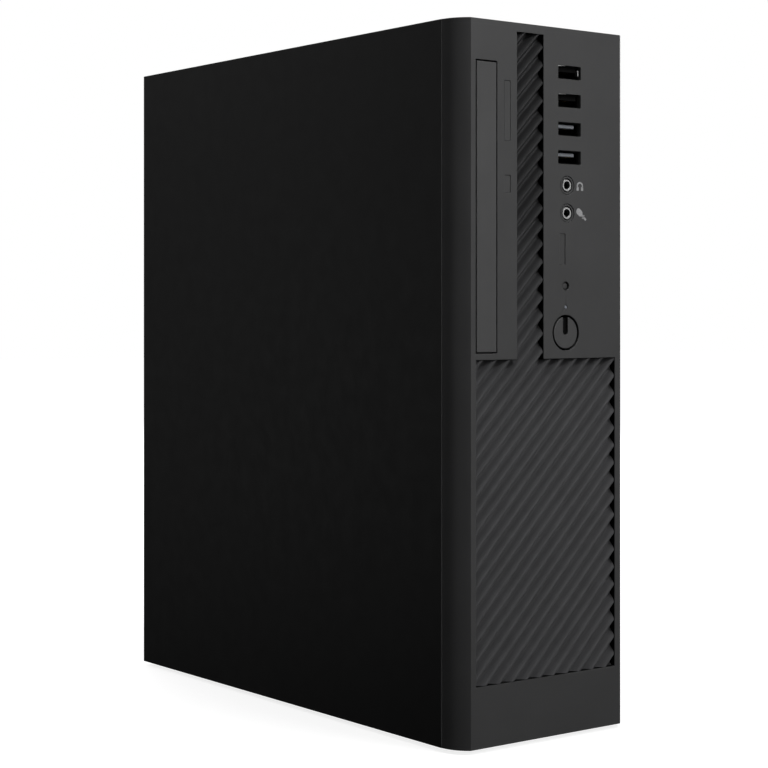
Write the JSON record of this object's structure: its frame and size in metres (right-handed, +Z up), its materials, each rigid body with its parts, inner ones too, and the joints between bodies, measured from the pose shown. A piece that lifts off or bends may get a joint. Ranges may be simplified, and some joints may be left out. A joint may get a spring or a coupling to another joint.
{
  "type": "desktop computer tower",
  "caption": "Slim upright computer case with a slide-off side cover, upright disc drive door, front sockets and buttons, and a diagonally ribbed lower front panel.",
  "frame": {"origin": "on the floor, under the middle of the whole part's box", "axes": "+Z up, -Y out of the front bezel, -X out of the removable side cover"},
  "size_m": [0.107, 0.286, 0.332],
  "materials": {
    "bezel_plastic": "fine matt charcoal",
    "black_plastic": "matt black",
    "grey_plastic": "matt grey",
    "blue_plastic": "matt blue",
    "ivory_plastic": "matt ivory",
    "smoked_plastic": "smoked, satin",
    "circuit_board": "green solder mask",
    "socket_metal": "nickel plate",
    "black_steel": "satin black powder coat",
    "bare_steel": "zinc plate",
    "screw_metal": "nickel plate",
    "cast_alloy": "satin",
    "brass": "turned",
    "rubber": "matt"
  },
  "bodies": {
    "case": {"front_bezel": "bezel_plastic", "rib_panel": "bezel_plastic", "disc_lamp": "smoked_plastic", "activity_lamp": "smoked_plastic", "power_lamp": "smoked_plastic", "switch_housings": "black_plastic", "socket_board": "circuit_board", "usb_shells": "socket_metal", "upper_usb_tongues": "black_plastic", "lower_usb_tongues": "grey_plastic", "headphone_jack": "socket_metal", "microphone_jack": "socket_metal", "case_top": "black_steel", "case_bottom": "black_steel", "case_wall": "black_steel", "front_plate": "bare_steel", "rear_panel": "bare_steel", "padlock_loop": "bare_steel", "feet": "rubber", "slot_covers": "bare_steel", "disc_bracket": "bare_steel", "hard_drive_bracket": "bare_steel", "hard_drive": "cast_alloy", "drive_housing": "bare_steel", "supply_case": "bare_steel", "supply_fan_frame": "black_plastic", "fan_guard": "screw_metal", "mains_inlet": "black_plastic", "inlet_pins": "screw_metal", "rocker_frame": "black_plastic", "main_board": "circuit_board", "stand_offs": "brass", "board_screws": "screw_metal", "processor_socket": "socket_metal", "heat_sink": "cast_alloy", "cooler_fan_frame": "black_plastic", "memory_slots": "black_plastic", "memory_modules": "circuit_board", "card_slots": "black_plastic", "rear_usb_ports": "socket_metal", "video_port": "blue_plastic", "network_port": "socket_metal", "sound_port": "grey_plastic", "port_shield": "bare_steel", "chipset_sink": "cast_alloy", "power_socket": "ivory_plastic", "wiring": "black_plastic"},
    "cover": {"side_cover": "black_steel", "cover_screws": "screw_metal"},
    "power_button": {"power_button": "bezel_plastic"},
    "reset_button": {"reset_button": "black_plastic"},
    "eject_button": {"eject_button": "bezel_plastic"},
    "tray": {"disc_tray": "black_plastic", "disc_door": "bezel_plastic", "sled_rails": "screw_metal"},
    "spindle": {"disc_spindle": "black_plastic"},
    "sled": {"laser_sled": "black_plastic"},
    "cooler_rotor": {"cooler_fan_rotor": "black_plastic"},
    "supply_rotor": {"supply_fan_rotor": "black_plastic"},
    "rocker": {"supply_rocker": "black_plastic"}
  },
  "joints": [
    {"name": "side_cover_slide", "type": "slide", "parent": "case", "child": "cover", "axis": [0, 1, 0], "range_m": [0, 0.27]},
    {"name": "power_button_press", "type": "slide", "parent": "case", "child": "power_button", "axis": [0, 1, 0], "range_m": [0, 0.0015], "stiffness_N_per_m": 600, "springref_m": -0.001},
    {"name": "reset_button_press", "type": "slide", "parent": "case", "child": "reset_button", "axis": [0, 1, 0], "range_m": [0, 0.0008], "stiffness_N_per_m": 600, "springref_m": -0.001},
    {"name": "eject_button_press", "type": "slide", "parent": "case", "child": "eject_button", "axis": [0, 1, 0], "range_m": [0, 0.0008], "stiffness_N_per_m": 600, "springref_m": -0.001},
    {"name": "disc_tray_slide", "type": "slide", "parent": "case", "child": "tray", "axis": [0, -1, 0], "range_m": [0, 0.118]},
    {"name": "disc_spindle_spin", "type": "hinge", "parent": "tray", "child": "spindle", "pos_m": [-0.0377, -0.0745, 0.24695], "axis": [1, 0, 0], "continuous": true},
    {"name": "laser_sled_slide", "type": "slide", "parent": "tray", "child": "sled", "axis": [0, 1, 0], "range_m": [0, 0.018]},
    {"name": "cooler_fan_spin", "type": "hinge", "parent": "case", "child": "cooler_rotor", "pos_m": [0, 0.055, 0.25], "axis": [1, 0, 0], "continuous": true},
    {"name": "supply_fan_spin", "type": "hinge", "parent": "case", "child": "supply_rotor", "pos_m": [0.0015, 0.018, 0.057], "axis": [0, 0, 1], "continuous": true},
    {"name": "supply_rocker_tilt", "type": "hinge", "parent": "case", "child": "rocker", "pos_m": [0.014, 0.1314, 0.04], "axis": [1, 0, 0], "range_deg": [-14, 0]}
  ]
}
